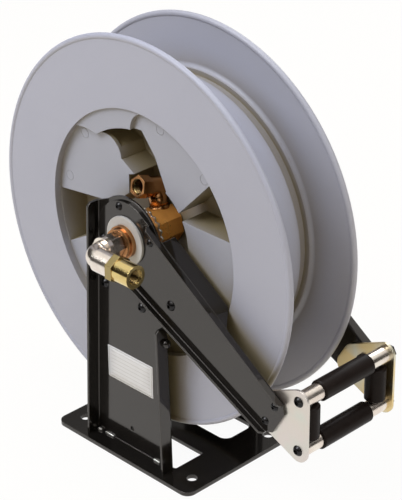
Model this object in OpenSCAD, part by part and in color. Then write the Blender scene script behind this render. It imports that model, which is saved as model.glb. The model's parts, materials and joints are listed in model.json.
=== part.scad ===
// Spring-rewind hose reel on a floor stand.
// An open moulded drum turns between two bent-steel uprights. A guide arm on each upright
// carries a four-roller mouth, and a swivel elbow feeds the hollow hub shaft.
// X points forward to the mouth, Y away from the inlet side, Z up.
// The origin is the centre of the base bolt pattern, on the underside of the base.

/* [Drum] */
// Outer diameter of the drum flanges
flange_d = 480; // [440:5:520]
// Width of the drum over both flange rims
drum_w = 112; // [104:1:130]
// Outer diameter of the winding barrel
barrel_d = 350; // [340:2:370]
// Diameter of the recess in the near face
recess_d = 304; // [296:2:312]
// Diameter of the hub well inside the recess
well_d = 140; // [136:2:146]
// Wall of the moulded drum
drum_wall = 4; // [3:0.5:5]
// Thickness of the drum flanges
flange_t = 4.5; // [3.5:0.5:5.5]
// Diameter of the bead round each flange rim
rim_d = 7.5; // [6.5:0.5:9]
// Depth of the raised pads below the near rim
pad_depth = 11; // [9:1:14]
// Depth of the land over the hose exit
land_depth = 5; // [3:0.5:7]
// Depth of the hub well, pockets and hose channel
well_depth = 50; // [46:1:54]
// Radius where the hose channel ends
channel_end = 127; // [122:1:132]
// Width of the hose tunnel through the barrel
tunnel_w = 32; // [26:1:36]
// Radius of the fillets where the barrel meets the flanges
barrel_fillet = 10; // [6:1:14]
// Width of the open groove round the barrel joint
groove_w = 15; // [10:1:18]
// Wall of the spring case to the circle of the screws that join the drum halves
drum_screw_gap = 28; // [24:1:30]

/* [Stand] */
// Gap between each drum face and the upright beside it
side_gap = 14.5; // [12:0.5:20]
// Gap between the drum rim and the top of the base
drum_clear = 48; // [40:1:60]
// Steel sheet of the uprights and arms
sheet_t = 3; // [2:0.5:3.5]
// Inside radius of the sheet bends
bend_r = 1.5; // [1:0.5:2]
// Hub axis to the outer face of the rear side flange, at the foot
upright_back = 68.5; // [66:0.5:72]
// How far the rear side flange leans forwards over its height
rear_lean = 16; // [10:0.5:18]
// Hub axis to the outer face of the front side flange, at the foot
upright_front = 68; // [66:0.5:72]
// How far the front side flange leans back over its height
upright_lean = 5.5; // [3:0.5:8]
// Radius of the upright's round head
head_r = 53; // [50:0.5:56]
// Height of the rear side flange above the hub axis
rear_flange_rise = 35; // [30:1:38]
// Depth of the near upright's side flanges
near_flange = 19.5; // [16:0.5:22]
// Depth of the far upright's side flanges
far_flange = 14; // [10:1:18]
// Diameter of the small hole near the foot
drain_hole_d = 6; // [4:0.5:8]

/* [Base plate] */
// Length of the base plate
base_l = 236; // [230:1:260]
// Thickness of the base plate
base_t = 5; // [4:0.5:8]
// Corner radius of the base plate
base_corner = 12; // [6:1:18]
// Base plate showing outside the near upright's drum side
near_ledge = 27; // [24:0.5:40]
// Base plate showing behind the far upright
far_ledge = 19.5; // [18:0.5:30]
// Bolt hole centre to the base edge, along the length
bolt_inset_x = 22; // [16:1:24]
// Bolt hole centre to the base edge, across the width
bolt_inset_y = 29; // [20:1:32]
// Diameter of the base bolt holes
bolt_hole_d = 13; // [9:0.5:14]
// Length of the two base windows
window_l = 136; // [110:1:138]
// Width of the bridge between the base windows
bridge_w = 39; // [30:1:46]
// Width of the far strip of the base
far_strip = 27; // [26:1:32]
// Corner radius of the near base window
near_window_corner = 3; // [2:0.5:8]
// Corner radius of the far base window
far_window_corner = 12; // [4:1:16]

/* [Guide arm and mouth] */
// Gap between the drum rim and the roller axles
mouth_gap = 30; // [28:1:50]
// Hub axis down to the middle of the mouth
mouth_drop = 134; // [110:1:150]
// Distance between the roller axles
roller_pitch = 63; // [58:1:70]
// Roller diameter
roller_d = 25; // [22:0.5:27]
// Diameter of the roller axles
axle_d = 10; // [8:0.5:11]
// Diameter of the axle spacers
spacer_d = 20; // [18:0.5:22]
// Length of the axle spacers
spacer_l = 29; // [28:0.5:32]
// Diameter of the side roller pins
side_pin_d = 8; // [6:0.5:9]
// How deep a side roller pin sits in its spacer
side_pin_seat = 3.5; // [2.5:0.5:4]
// Roller axles back to the arm end bolts
plate_setback = 40; // [36:1:46]
// Distance between the two arm end bolts
arm_bolt_pitch = 28; // [24:1:30]
// Corner radius of the mouth plates
plate_r = 14; // [12:0.5:16]
// Radius of the arm head round the hub
arm_head_r = 48; // [47:0.5:49]
// Width of the arm at its end
arm_end_w = 55; // [52:1:60]
// Arm past its end bolts
arm_overhang = 15; // [13:1:18]
// Chamfer of the arm end
arm_chamfer = 10; // [6:1:14]
// Depth of the arm side flanges
arm_flange = 11; // [9:1:14]
// Depth of the stiffener behind the near arm
stiffener_depth = 21; // [18:0.5:21.5]
// Length of the stiffener along the arm edge
stiffener_l = 125; // [100:1:126]

/* [Hub and inlet] */
// Diameter of the hub shaft in its bush
shaft_d = 40; // [36:1:42]
// Diameter of the swivel spigot
spigot_d = 22; // [20:0.5:24]
// Wall of the plastic bushes
bush_wall = 3; // [2:0.5:4]
// Diameter of the near bush flange
bush_flange_d = 60; // [54:1:62]
// Thickness of the bush flanges
bush_flange_t = 3; // [2:0.5:4]
// Circle of the hub screws
hub_screw_circle = 83; // [80:1:84]
// Near drum face to the axis of the inlet leg
inlet_reach = 75; // [74:1:86]
// Hub axis to the mouth of the inlet
inlet_l = 75; // [68:1:85]
// Bore of the inlet and outlet threads
thread_bore = 18.6; // [16:0.2:20]
// Depth of the inlet thread
thread_l = 20; // [14:1:22]
// Length of the outlet nipple
nipple_l = 15; // [12:1:16]
// Hub axis to the axis of the outlet port
outlet_r = 47; // [45:1:48]
// Direction of the outlet leg round the hub
outlet_angle = 102; // [98:1:106]
// Tilt of the outlet port away from the hub axis
outlet_tilt = 17; // [17:1:22]
// Diameter of the outlet elbow
outlet_d = 24; // [22:0.5:25]

/* [Spring and latch] */
// Diameter of the fixed spring arbor
arbor_d = 25; // [22:1:28]
// Outer diameter of the spring case
case_d = 224; // [210:2:230]
// Sheet of the spring case and cover
case_t = 2; // [1.5:0.5:2.5]
// Turns of the power spring
spring_turns = 8; // [5:1:10]
// Strip thickness of the power spring
spring_t = 1.2; // [0.8:0.1:1.6]
// Tip diameter of the ratchet wheel
ratchet_d = 132; // [126:1:136]
// Depth of the ratchet teeth
tooth_h = 8; // [6:0.5:9]
// Number of ratchet teeth
teeth = 12; // [12:12:24]
// Thickness of the ratchet wheel and pawl
ratchet_t = 5; // [4:0.5:6]
// Diameter of the pawl pin
pawl_pin_d = 8; // [6:0.5:9]

/* [Clearances] */
// Radial running clearance of shafts and rollers
run_gap = 0.06; // [0.03:0.01:0.1]
// Radial clearance of screws and pins in plain holes
hole_gap = 0.2; // [0.1:0.05:0.4]
// End clearance of turning parts
end_gap = 0.4; // [0.3:0.1:0.8]

/* [Hidden] */
$fn = 64;

// Colours of the finishes
paint_black = [0.07, 0.07, 0.07];
drum_grey = [0.68, 0.68, 0.71];
zinc = [0.82, 0.78, 0.72];
roller_black = [0.1, 0.09, 0.09];
brass = [0.72, 0.5, 0.2];
nickel = [0.8, 0.77, 0.72];
steel = [0.55, 0.56, 0.58];
nylon = [0.78, 0.78, 0.78];

// Places along Y
flange_r = flange_d / 2;
barrel_r = barrel_d / 2;
recess_r = recess_d / 2;
well_r = well_d / 2;
bend_or = bend_r + sheet_t;
base_w = drum_w + 2 * side_gap + sheet_t + near_ledge + far_ledge;
near_web_y = -base_w / 2 + near_ledge;
drum_y = near_web_y + side_gap;
far_web_y = drum_y + drum_w + side_gap;
mid_y = drum_y + drum_w / 2;
near_arm_y = near_web_y - sheet_t;

// Hub place
hub_x = 0;
hub_z = base_t + drum_clear + flange_r;
hub_h = hub_z - base_t;

// Mouth and arm, seen from the near side with the hub at zero
mouth_x = flange_r + mouth_gap;
upper_axle = [mouth_x, roller_pitch / 2 - mouth_drop];
lower_axle = [mouth_x, -roller_pitch / 2 - mouth_drop];
arm_joint = [mouth_x - plate_setback, -mouth_drop];
arm_reach = norm(arm_joint);
arm_angle = atan2(arm_joint.y, arm_joint.x);
arm_l = arm_reach + arm_overhang;
arm_taper = asin((arm_head_r - arm_end_w / 2) / arm_l);
arm_bolts = [for (side = [-1, 1]) turn2([arm_reach, side * arm_bolt_pitch / 2], arm_angle)];

// Upright outline
under_arm = [upright_front - upright_lean, -1.9 * arm_head_r];
lean_angle = atan(upright_lean / (hub_h + under_arm.y));
rear_angle = atan(rear_lean / (hub_h + rear_flange_rise));
arm_lug = [[84, -80], [88, -45]];
index_points = [85 * heading(239.5), 85 * heading(284), 93.5 * heading(321.5)];

// Drum depths, counted from the near rim
face_set = (rim_d - flange_t) / 2;
web_back = well_depth + drum_wall;
hub_flange_t = 6;
hub_flange_d = 116;
far_plate_front = drum_w - face_set - flange_t;
far_plate_back = drum_w - face_set;
collar_w = 5;
joint_end = far_plate_front - collar_w - groove_w;
seat_l = 16;
seat_step = 2.5;
boss_angles = [60, 150, 240, 330];
boss_d = 16;
drum_screw_d = 6;

// Edges of the pockets and the hose channel: direction and distance from the hub
left_pocket = [[187, -26], [209, -14]];
right_pocket = [[0, 34], [45.5, -10]];
channel_points = [
  [22, 38], [35.5, 63], [18, 101], [-6, 130], [-24, 140], [-86, 118], [-78, 80], [-38, 80], [-18, 68]
];
channel_lobe = [-67, 77];
channel_lobe_r = 28;
land_edges = [[84, 0], [146, 0]];
land_lobes = [[-95, 44, 61], [8, 127, 24]];
tunnel_start = [-22, 102];
tunnel_angle = 160;

// Spring, bushes and ratchet depths
case_front = web_back + hub_flange_t + 5;
case_r = case_d / 2;
case_rim = 17;
cover_r = case_r + case_rim;
drum_screw_circle = 2 * (case_r + drum_screw_gap);
cover_front = far_plate_back + case_t;
cover_back = cover_front + case_t;
cover_screw_r = case_r + 9;
cover_screw_d = 5;
rear_bush_r = arbor_d / 2 + run_gap + bush_wall;
ratchet_front = cover_back;
ratchet_back = ratchet_front + ratchet_t;
ratchet_bore = arbor_d + 20;
ratchet_screw_r = (ratchet_bore + ratchet_d - 2 * tooth_h) / 4;
ratchet_screw_d = 5;
latch_angle = -130;
pawl_nose_angle = latch_angle + 5;
pawl_nose = (ratchet_d / 2 - tooth_h + 2) * heading(pawl_nose_angle);
pawl_l = 52;
pawl_pivot = pawl_nose + pawl_l * heading(pawl_nose_angle + 88.5);
pawl_boss_d = pawl_pin_d + 8;
pawl_along = (pawl_nose - pawl_pivot) / pawl_l;
pawl_across = [-pawl_along.y, pawl_along.x];
peg_d = 4;
peg_side = 3;
pawl_peg = pawl_point(26, peg_side);
web_peg = pawl_point(-22, peg_side);
spring_wire = 1.2;

// Hub stack outside the near upright
shaft_r = shaft_d / 2;
bend_step = 0.7;
bend_lap = 2;
spigot_r = spigot_d / 2;
bush_or = shaft_r + run_gap + bush_wall;
bush_back = -side_gap;
bush_front = -side_gap - 2 * sheet_t;
shaft_front = bush_front - bush_flange_t - end_gap;
gland_l = 11;
gland_front = shaft_front - gland_l;
outlet_depth = well_depth - 12.5;
passage_r = 7.5;

// Fasteners
hub_screw_d = 6;
index_screw_d = 8;
index_head_d = 13;
axle_head_d = 13.2;
arm_bolt_d = 6;
plate_hole_d = axle_d + 2 * hole_gap;
roller_edge = 1.5;

function heading(a) = [cos(a), sin(a)];
function left_of(a) = [-sin(a), cos(a)];
function turn2(p, a) = p.x * heading(a) + p.y * left_of(a);

// Point of the pawl: along it from its pivot, and across it away from the hub
function pawl_point(a, c) = pawl_pivot + a * pawl_along + c * pawl_across;

// Point that lies o1 left of direction a1 and o2 left of direction a2
function crossing(a1, o1, a2, o2) =
  let (n = left_of(a1), m = left_of(a2), d = n.x * m.y - n.y * m.x)
  [(o1 * m.y - o2 * n.y) / d, (n.x * o2 - m.x * o1) / d];

// Puts a sheet drawn in the XZ plane about the hub at y, and thickens it towards the near side
module plate(y, t) {
  translate([hub_x, y, hub_z]) rotate([90, 0, 0]) linear_extrude(t) children();
}

// A slab of the drum between two depths, drawn about the hub
module slab(front, back) {
  plate(drum_y + back, back - front) children();
}

// A turned form about the hub axis, drawn as radius and depth
module turned() {
  translate([hub_x, drum_y, hub_z]) rotate([-90, 0, 0]) rotate_extrude() children();
}

// Turns a near-side part over to the far side
module far_side() {
  translate([0, 2 * mid_y, 0]) mirror([0, 1, 0]) children();
}

// Rectangle of a turned profile between two radii and two depths
module band(r_in, r_out, front, back) {
  translate([r_in, front]) square([r_out - r_in, back - front]);
}

// Convex outline with round corners, its points given anticlockwise
module rounded(points, r) {
  polygon(points);
  for (i = [0 : len(points) - 1]) {
    p = points[i];
    q = points[(i + 1) % len(points)];
    side = (q - p) / norm(q - p);
    out = [side.y, -side.x] * r;
    translate(p) circle(r = r);
    polygon([p, p + out, q + out, q]);
  }
}

// Rectangle with round corners, centred
module rounded_rect(w, h, r) {
  x = w / 2 - r;
  y = h / 2 - r;
  rounded([[-x, -y], [x, -y], [x, y], [-x, y]], r);
}

// Section of a bent sheet flange: depth along X from the back of the bend, thickness along Y
module bend_section(depth) {
  difference() {
    intersection() {
      translate([bend_or, bend_or]) circle(r = bend_or);
      square(bend_or + 0.2);
    }
    translate([bend_or, bend_or]) circle(r = bend_r);
  }
  translate([bend_or, 0]) square([depth - bend_or, sheet_t]);
}

// Flange that runs along X, with its leg towards the near side and its outer face down
module flange_along_x(depth, run) {
  rotate([90, 0, 90]) linear_extrude(run) mirror([1, 0]) bend_section(depth);
}

// Flange that runs along Z, with its leg towards the near side and its outer face back
module flange_along_z(depth, run) {
  linear_extrude(run) rotate(-90) bend_section(depth);
}

// Socket screw with a domed head, seated at zero, its shank along -Z
module dome_screw(d, shank, head = 0) {
  head_d = head > 0 ? head : 1.75 * d;
  head_h = 0.315 * head_d;
  dome_r = (head_d * head_d / 4 + head_h * head_h) / (2 * head_h);
  difference() {
    rotate_extrude() intersection() {
      translate([0, head_h - dome_r]) circle(r = dome_r);
      square([head_d / 2, head_h]);
    }
    translate([0, 0, 0.35 * head_h]) cylinder(d = 0.62 * d, h = head_h, $fn = 6);
  }
  translate([0, 0, -shank]) cylinder(d = d, h = shank);
}

// Hexagon nut on Z from zero up, with its bore
module hex_nut(bore, across, h) {
  difference() {
    cylinder(d = across / cos(30), h = h, $fn = 6);
    translate([0, 0, -1]) cylinder(d = bore, h = h + 2);
  }
}

// Turns Z towards the near side at a point of the panel that faces it
module on_panel(p, y) {
  translate([hub_x + p.x, y, hub_z + p.y]) rotate([90, 0, 0]) children();
}

// Places copies at equal steps round the hub
module ring_of(count, r, first) {
  for (i = [0 : count - 1]) translate(r * heading(first + 360 * i / count)) children();
}

// Base plate

module base_outline() {
  rounded_rect(base_l, base_w, base_corner);
}

module window(low, high, corner) {
  translate([0, (low + high) / 2]) rounded_rect(window_l, high - low, corner);
}

module base_plate() color(paint_black) {
  hole_x = base_l / 2 - bolt_inset_x;
  hole_y = base_w / 2 - bolt_inset_y;
  difference() {
    linear_extrude(base_t) base_outline();
    translate([0, 0, -1]) linear_extrude(base_t + 2) {
      window(near_web_y + 1.5, -bridge_w / 2, near_window_corner);
      window(bridge_w / 2, base_w / 2 - far_strip, far_window_corner);
    }
    for (x = [-hole_x, hole_x], y = [-hole_y, hole_y])
      translate([x, y, -1]) cylinder(d = bolt_hole_d, h = base_t + 2);
  }
}

// Uprights

module upright_web() {
  inset = bend_or - 0.2;
  polygon([
    [inset - upright_back, -hub_h],
    [upright_front - inset, -hub_h],
    [under_arm.x - inset, under_arm.y],
    arm_lug[0],
    arm_lug[1],
    head_r * heading(12),
    [0, 0],
    head_r * heading(128),
    [inset - upright_back + rear_lean, rear_flange_rise]
  ]);
  circle(r = head_r);
}

// Side flange at the back of an upright, leaning in as it rises from zero
module leaning_flange(depth, run, angle) {
  chamfer = 0.2 * depth;
  sunk = 2;
  difference() {
    rotate([0, angle, 0]) translate([0, 0, -sunk]) difference() {
      flange_along_z(depth, run + sunk);
      translate([-1, -depth, run + sunk]) rotate([45, 0, 0])
        translate([0, -chamfer, -0.7 * chamfer]) cube([sheet_t + 2, 2 * chamfer, 2 * chamfer]);
    }
    translate([-depth, -2 * depth, -10]) cube([3 * depth, 4 * depth, 10]);
  }
}

// Side flanges of an upright, both turned to the near side
module upright_flanges(depth) {
  translate([hub_x - upright_back, near_web_y, base_t])
    leaning_flange(depth, hub_h + rear_flange_rise, rear_angle);
  translate([hub_x + upright_front, near_web_y, base_t]) mirror([1, 0, 0])
    leaning_flange(depth, hub_h + under_arm.y, lean_angle);
}

module upright(depth, bore_d) {
  difference() {
    union() {
      plate(near_web_y, sheet_t) upright_web();
      upright_flanges(depth);
    }
    plate(near_web_y + 1, sheet_t + 2) {
      circle(d = bore_d);
      ring_of(4, hub_screw_circle / 2, 15) circle(d = hub_screw_d + 2 * hole_gap);
      translate([-3, 27 - hub_h]) circle(d = drain_hole_d);
    }
  }
}

module near_upright() color(paint_black) {
  difference() {
    upright(near_flange, 2 * bush_or + 2 * hole_gap);
    for (p = index_points)
      on_panel(p, near_web_y + 1) cylinder(d = index_screw_d + 2 * hole_gap, h = sheet_t + 2);
  }
}

module far_upright() color(paint_black) {
  far_side() difference() {
    upright(far_flange, arbor_d + 2 * hole_gap);
    on_panel(pawl_pivot, near_web_y + 1) cylinder(d = pawl_pin_d + 2 * hole_gap, h = sheet_t + 2);
    on_panel(web_peg, near_web_y + 1) cylinder(d = peg_d + 2 * hole_gap, h = sheet_t + 2);
  }
}

// Guide arms

module arm_outline() {
  edge = arm_head_r * left_of(-arm_taper);
  tip = [arm_l - arm_chamfer, (arm_end_w / 2) + arm_chamfer * tan(arm_taper)];
  polygon([
    edge, tip, [arm_l, arm_end_w / 2 - arm_chamfer],
    [arm_l, arm_chamfer - arm_end_w / 2], [tip.x, -tip.y], [edge.x, -edge.y]
  ]);
  circle(r = arm_head_r);
}

// Side flange of the arm along its lower edge
module arm_edge_flange() {
  start = 14;
  run = arm_l - arm_chamfer - start;
  rotate([0, -arm_taper, 0]) translate([start, near_arm_y, -arm_head_r]) difference() {
    flange_along_x(arm_flange, run);
    for (x = [0, run]) translate([x, -arm_flange, 0]) rotate([0, 0, 45])
      cube([0.6 * arm_flange, 0.6 * arm_flange, 3 * sheet_t], center = true);
  }
}

module arm(bore_d) {
  difference() {
    union() {
      plate(near_arm_y, sheet_t) rotate(arm_angle) difference() {
        arm_outline();
        for (side = [-1, 1]) mirror([0, side > 0 ? 1 : 0]) rotate(arm_taper)
          translate([14, -arm_head_r - 1]) square([arm_l - arm_chamfer - 14, bend_or + 0.8]);
      }
      translate([hub_x, 0, hub_z]) rotate([0, -arm_angle, 0])
        for (side = [0, 1]) mirror([0, 0, side]) arm_edge_flange();
    }
    plate(near_arm_y + 1, sheet_t + 2) {
      circle(d = bore_d);
      ring_of(4, hub_screw_circle / 2, 15) circle(d = hub_screw_d + 2 * hole_gap);
      for (p = arm_bolts) translate(p) circle(d = arm_bolt_d + 2 * hole_gap);
    }
  }
}

module near_arm() color(paint_black) difference() {
  arm(2 * bush_or + 2 * hole_gap);
  on_panel(index_points[2], near_arm_y + 1)
    cylinder(d = index_screw_d + 2 * hole_gap, h = sheet_t + 2);
}

module far_arm() color(paint_black) far_side() arm(arbor_d + 2 * hole_gap);

// Strip welded behind the near arm's upper edge, short of the drum face
module arm_stiffener() color(paint_black) {
  start = 38;
  translate([hub_x, near_arm_y, hub_z]) rotate([0, -arm_angle + arm_taper, 0])
    translate([start, 0, arm_head_r - 2 * sheet_t]) linear_extrude(sheet_t)
      polygon([
        [0, 0], [stiffener_l, 0], [stiffener_l - 16.5, 16],
        [stiffener_l - 22, stiffener_depth], [0, stiffener_depth]
      ]);
}

// Roller mouth

module mouth_plate_shape() {
  top = turn2([arm_reach - 11, arm_bolt_pitch / 2 - 8], arm_angle);
  bottom = turn2([arm_reach - 11, -arm_bolt_pitch / 2], arm_angle);
  difference() {
    rounded([upper_axle, top, bottom, lower_axle], plate_r);
    for (p = [upper_axle, lower_axle]) translate(p) circle(d = plate_hole_d);
    for (p = arm_bolts) translate(p) circle(d = arm_bolt_d + 2 * hole_gap);
  }
}

module near_mouth_plate() color(zinc) plate(near_web_y, sheet_t) mouth_plate_shape();

module far_mouth_plate() color(zinc) far_side() plate(near_web_y, sheet_t) mouth_plate_shape();

// One spacer on an axle, drilled for the end of the side roller pin on its inner side
module spacer(axle, inner) {
  difference() {
    on_panel(axle, near_web_y + spacer_l) difference() {
      cylinder(d = spacer_d, h = spacer_l);
      translate([0, 0, -1]) cylinder(d = axle_d + 2 * hole_gap, h = spacer_l + 2);
    }
    translate([hub_x + axle.x, near_web_y + spacer_l / 2, hub_z + axle.y])
      rotate([inner > 0 ? 0 : 180, 0, 0]) translate([0, 0, spacer_d / 2 - side_pin_seat])
        cylinder(d = side_pin_d + 2 * hole_gap, h = side_pin_seat + 1);
  }
}

module mouth_spacers() color(nickel) {
  spacer(upper_axle, -1);
  spacer(lower_axle, 1);
  far_side() {
    spacer(upper_axle, -1);
    spacer(lower_axle, 1);
  }
}

module roller_axles() color(roller_black)
  for (p = [upper_axle, lower_axle]) {
    span = far_web_y - near_web_y + 2 * sheet_t;
    on_panel(p, near_web_y - sheet_t) dome_screw(axle_d, span + 8, axle_head_d);
  }

module axle_nuts() color(roller_black)
  for (p = [upper_axle, lower_axle])
    far_side() on_panel(p, near_web_y - sheet_t) hex_nut(axle_d + 2 * hole_gap, 16, 7);

module side_roller_pins() color(steel)
  for (y = [near_web_y + spacer_l / 2, far_web_y - spacer_l / 2])
    translate([hub_x + mouth_x, y, hub_z + lower_axle.y + spacer_d / 2 - side_pin_seat + 0.2])
      cylinder(d = side_pin_d, h = roller_pitch - spacer_d + 2 * side_pin_seat - 0.4);

module arm_end_bolts() color(steel) {
  for (p = arm_bolts) {
    on_panel(p, near_arm_y - sheet_t) dome_screw(arm_bolt_d, 2 * sheet_t + 6);
    far_side() on_panel(p, near_arm_y - sheet_t) dome_screw(arm_bolt_d, 2 * sheet_t + 6);
  }
}

module arm_end_nuts() color(steel) {
  for (p = arm_bolts) {
    on_panel(p, near_web_y + 5) hex_nut(arm_bolt_d + 2 * hole_gap, 10, 5);
    far_side() on_panel(p, near_web_y + 5) hex_nut(arm_bolt_d + 2 * hole_gap, 10, 5);
  }
}

// A roller along Z, centred, with eased ends and a running bore
module roller(l, bore) {
  r = roller_d / 2;
  in = bore / 2 + run_gap;
  rotate_extrude() polygon([
    [in, -l / 2], [r - roller_edge, -l / 2], [r, roller_edge - l / 2],
    [r, l / 2 - roller_edge], [r - roller_edge, l / 2], [in, l / 2]
  ]);
}

module cross_roller(axle) {
  l = far_web_y - near_web_y - 2 * spacer_l - 2 * end_gap;
  translate([hub_x + axle.x, mid_y, hub_z + axle.y]) rotate([90, 0, 0]) roller(l, axle_d);
}

module side_roller(y) {
  l = roller_pitch - spacer_d - 2 * end_gap;
  translate([hub_x + mouth_x, y, hub_z - mouth_drop]) roller(l, side_pin_d);
}

module upper_roller() color(roller_black) cross_roller(upper_axle);

module lower_roller() color(roller_black) cross_roller(lower_axle);

module near_side_roller() color(roller_black) side_roller(near_web_y + spacer_l / 2);

module far_side_roller() color(roller_black) side_roller(far_web_y - spacer_l / 2);

// Screws on the uprights

module hub_screws() color(roller_black) {
  for (i = [0 : 3]) {
    p = hub_screw_circle / 2 * heading(15 + 90 * i);
    on_panel(p, near_arm_y - sheet_t) dome_screw(hub_screw_d, 2 * sheet_t + 2);
    far_side() on_panel(p, near_arm_y - sheet_t) dome_screw(hub_screw_d, 2 * sheet_t + 2);
  }
}

module index_screws() color(roller_black) {
  for (i = [0 : 2]) {
    sheets = i == 2 ? 2 : 1;
    on_panel(index_points[i], near_web_y - sheets * sheet_t)
      dome_screw(index_screw_d, sheets * sheet_t + 2, index_head_d);
  }
}

// Bearings and fixed arbor

module front_bush() color(nylon) turned() {
  band(shaft_r + run_gap, bush_or, bush_front - bush_flange_t, bush_back);
  band(shaft_r + run_gap, bush_flange_d / 2, bush_front - bush_flange_t, bush_front);
}

module spring_arbor() color(steel) {
  outer = drum_w + side_gap + 2 * sheet_t;
  difference() {
    turned() {
      band(0, arbor_d / 2, case_front + case_t + 2, outer);
      band(0, arbor_d / 2 - 2.5, outer, outer + 16);
      band(0, arbor_d / 2 + 5, drum_w + side_gap - 3, drum_w + side_gap);
    }
    slab(case_front, far_plate_front) translate([arbor_d / 2 - 3, -1]) square([10, 2]);
  }
}

module arbor_nut() color(steel)
  far_side() on_panel([0, 0], near_arm_y - sheet_t) hex_nut(arbor_d - 5 + 2 * hole_gap, 32, 11);

module pawl_pin() color(steel) {
  slab(ratchet_front + end_gap, drum_w + side_gap + sheet_t + 4)
    translate(pawl_pivot) circle(d = pawl_pin_d);
  slab(ratchet_back + 0.5, drum_w + side_gap + sheet_t) translate(web_peg) circle(d = peg_d);
}

// Drum

// Part of the near face between two edges, each grown outwards
module wedge(edges, grow) {
  reach = 3 * recess_r;
  first = edges[0];
  last = edges[1];
  apex = crossing(first[0], first[1] - grow, last[0], last[1] + grow);
  polygon([apex, apex + reach * heading(first[0]), apex + reach * heading(last[0])]);
}

// Where the upper left pad reaches into the hub well, at the hub flange's edge
module pad_lobe(grow) {
  difference() {
    polygon([[-27 - grow, 0], [-27 - grow, 90], [-110, 90], [-110, 0]]);
    circle(r = 49 + grow);
  }
}

// Hub well, two pockets and the hose channel, grown outwards by a wall
module deep_region(grow) {
  difference() {
    circle(r = well_r + grow);
    pad_lobe(grow);
  }
  intersection() {
    circle(r = recess_r - 1 + grow);
    union() {
      wedge(left_pocket, grow);
      wedge(right_pocket, grow);
    }
  }
  intersection() {
    circle(r = channel_end + grow);
    difference() {
      if (grow > 0) rounded(channel_points, grow);
      else polygon(channel_points);
      translate(channel_lobe) circle(r = channel_lobe_r - grow);
    }
  }
}

// Raised land between the hose channel and the recess wall, with the pad corners curving into it
module land_shape() {
  difference() {
    intersection() {
      circle(r = recess_r + drum_wall / 2);
      wedge(land_edges, 0);
    }
    circle(r = channel_end);
    for (lobe = land_lobes) translate([lobe.x, lobe.y]) circle(r = lobe.z);
  }
}

// Hose tunnel, seen from the near side, from inside the channel out past the barrel
module tunnel_shape(grow) {
  width = tunnel_w + 2 * grow;
  translate(tunnel_start) rotate(tunnel_angle) translate([0, -width / 2]) square([barrel_r, width]);
}

// Fillet between the barrel and the inner face of a flange, its corner at zero
module fillet(r) {
  difference() {
    square(r);
    translate([r, r]) circle(r = r);
  }
}

// Flange plate with its rim bead, its front face at a depth
module flange_section(r_in, front) {
  bead = rim_d / 2;
  band(r_in, flange_r - bead, front, front + flange_t);
  translate([flange_r - bead, front + flange_t / 2]) circle(r = bead);
}

module near_drum_half() color(drum_grey) {
  face = face_set;
  difference() {
    union() {
      difference() {
        union() {
          turned() {
            flange_section(recess_r, face);
            band(barrel_r - drum_wall, barrel_r, face, joint_end);
            translate([barrel_r, face + flange_t]) fillet(barrel_fillet);
            band(recess_r, recess_r + drum_wall, face, web_back);
          }
          slab(pad_depth, web_back) circle(r = recess_r + drum_wall / 2);
          slab(land_depth, pad_depth + 1) land_shape();
        }
        slab(pad_depth + drum_wall, web_back + 1) difference() {
          circle(r = recess_r);
          deep_region(drum_wall);
        }
      }
      slab(pad_depth + 1, far_plate_front) ring_of(4, drum_screw_circle / 2, boss_angles[0])
        circle(d = boss_d);
      slab(pad_depth + 1, web_back) intersection() {
        tunnel_shape(drum_wall);
        circle(r = barrel_r - 1);
      }
    }
    slab(-1, well_depth) deep_region(0);
    slab(pad_depth + drum_wall + 1, well_depth) tunnel_shape(0);
    slab(0, web_back + 1) circle(r = shaft_r + hole_gap);
    slab(web_back - 2 * drum_wall, web_back + 1) ring_of(4, hub_flange_d / 2 - 9, 20)
      circle(d = hub_screw_d + 2 * hole_gap);
    slab(far_plate_front - 24, far_plate_front + 1) ring_of(4, drum_screw_circle / 2, boss_angles[0])
      circle(d = drum_screw_d + 2 * hole_gap);
  }
}

module far_drum_half() color(drum_grey) {
  seat_r = barrel_r - drum_wall - hole_gap;
  groove_r = seat_r - seat_step;
  difference() {
    turned() {
      flange_section(case_r + hole_gap, far_plate_front);
      band(groove_r - drum_wall, groove_r, joint_end - seat_l, far_plate_front);
      band(groove_r - 1, seat_r, joint_end - seat_l, joint_end);
      band(groove_r - 1, barrel_r, far_plate_front - collar_w, far_plate_front);
      translate([barrel_r, far_plate_front]) mirror([0, 1]) fillet(collar_w);
    }
    slab(far_plate_front - 1, drum_w) {
      ring_of(4, drum_screw_circle / 2, boss_angles[0]) circle(d = drum_screw_d + 2 * hole_gap);
      ring_of(6, cover_screw_r, 0) circle(d = cover_screw_d + 2 * hole_gap);
    }
  }
}

module drum_screws() color(steel)
  ring_of_screws(4, drum_screw_circle / 2, boss_angles[0], far_plate_back, drum_screw_d, 24);

// Screws round the hub that enter the drum from its far side
module ring_of_screws(count, r, first, back, d, shank) {
  for (i = [0 : count - 1]) {
    p = r * heading(first + 360 * i / count);
    translate([hub_x + p.x, drum_y + back, hub_z + p.y]) rotate([-90, 0, 0]) dome_screw(d, shank);
  }
}

// Hub shaft and water way

module hub_shaft() color(brass) {
  boss_front = 0.4 * bush_back;
  difference() {
    union() {
      turned() {
        band(0, shaft_r, shaft_front, web_back);
        band(0, hub_flange_d / 2, web_back, web_back + hub_flange_t);
      }
      slab(boss_front, well_depth - 1) rotate(outlet_angle + 22.5)
        circle(r = (shaft_r + 3) / cos(22.5), $fn = 8);
    }
    slab(shaft_front - 1, outlet_depth + passage_r + 2) circle(r = spigot_r + run_gap);
    translate([hub_x, drum_y + outlet_depth, hub_z]) rotate([0, 90 - outlet_angle, 0])
      cylinder(r = passage_r, h = 2 * shaft_r);
    slab(web_back - 1, web_back + hub_flange_t + 1) ring_of(4, hub_flange_d / 2 - 9, 20)
      circle(d = hub_screw_d + 2 * hole_gap);
  }
}

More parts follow.
